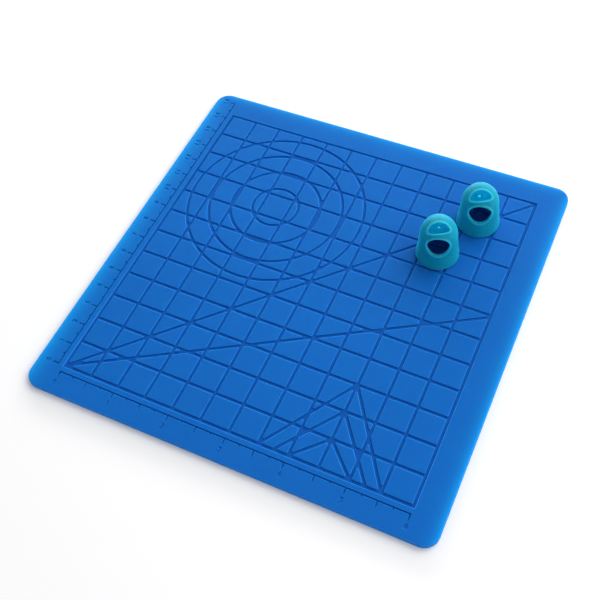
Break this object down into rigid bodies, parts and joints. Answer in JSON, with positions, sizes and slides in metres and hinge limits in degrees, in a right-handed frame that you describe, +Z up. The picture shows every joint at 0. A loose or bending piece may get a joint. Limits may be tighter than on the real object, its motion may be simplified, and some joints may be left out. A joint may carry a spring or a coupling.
{
  "type": "silicone craft mat with finger caps",
  "caption": "Square silicone craft mat with engraved grid, circles, angle lines and rulers, and silicone finger caps standing on it.",
  "frame": {"origin": "centre of the mat's footprint, on the surface that the mat lies on", "axes": "+X along the inch ruler, +Y away from it towards the circles' side, +Z up through the mat"},
  "size_m": [0.1778, 0.1778, 0.0255],
  "materials": {
    "mat_silicone": "satin, slightly translucent blue silicone",
    "cap_silicone": "satin, translucent teal silicone"
  },
  "bodies": {
    "mat": {"mat": "mat_silicone"},
    "front_cap": {"front_finger_cap": "cap_silicone"},
    "rear_cap": {"rear_finger_cap": "cap_silicone"}
  },
  "joints": [
    {"name": "front_cap_lift", "type": "slide", "parent": "mat", "child": "front_cap", "axis": [0, 0, 1], "range_m": [0, 0.06]},
    {"name": "rear_cap_lift", "type": "slide", "parent": "mat", "child": "rear_cap", "axis": [0, 0, 1], "range_m": [0, 0.06]}
  ]
}
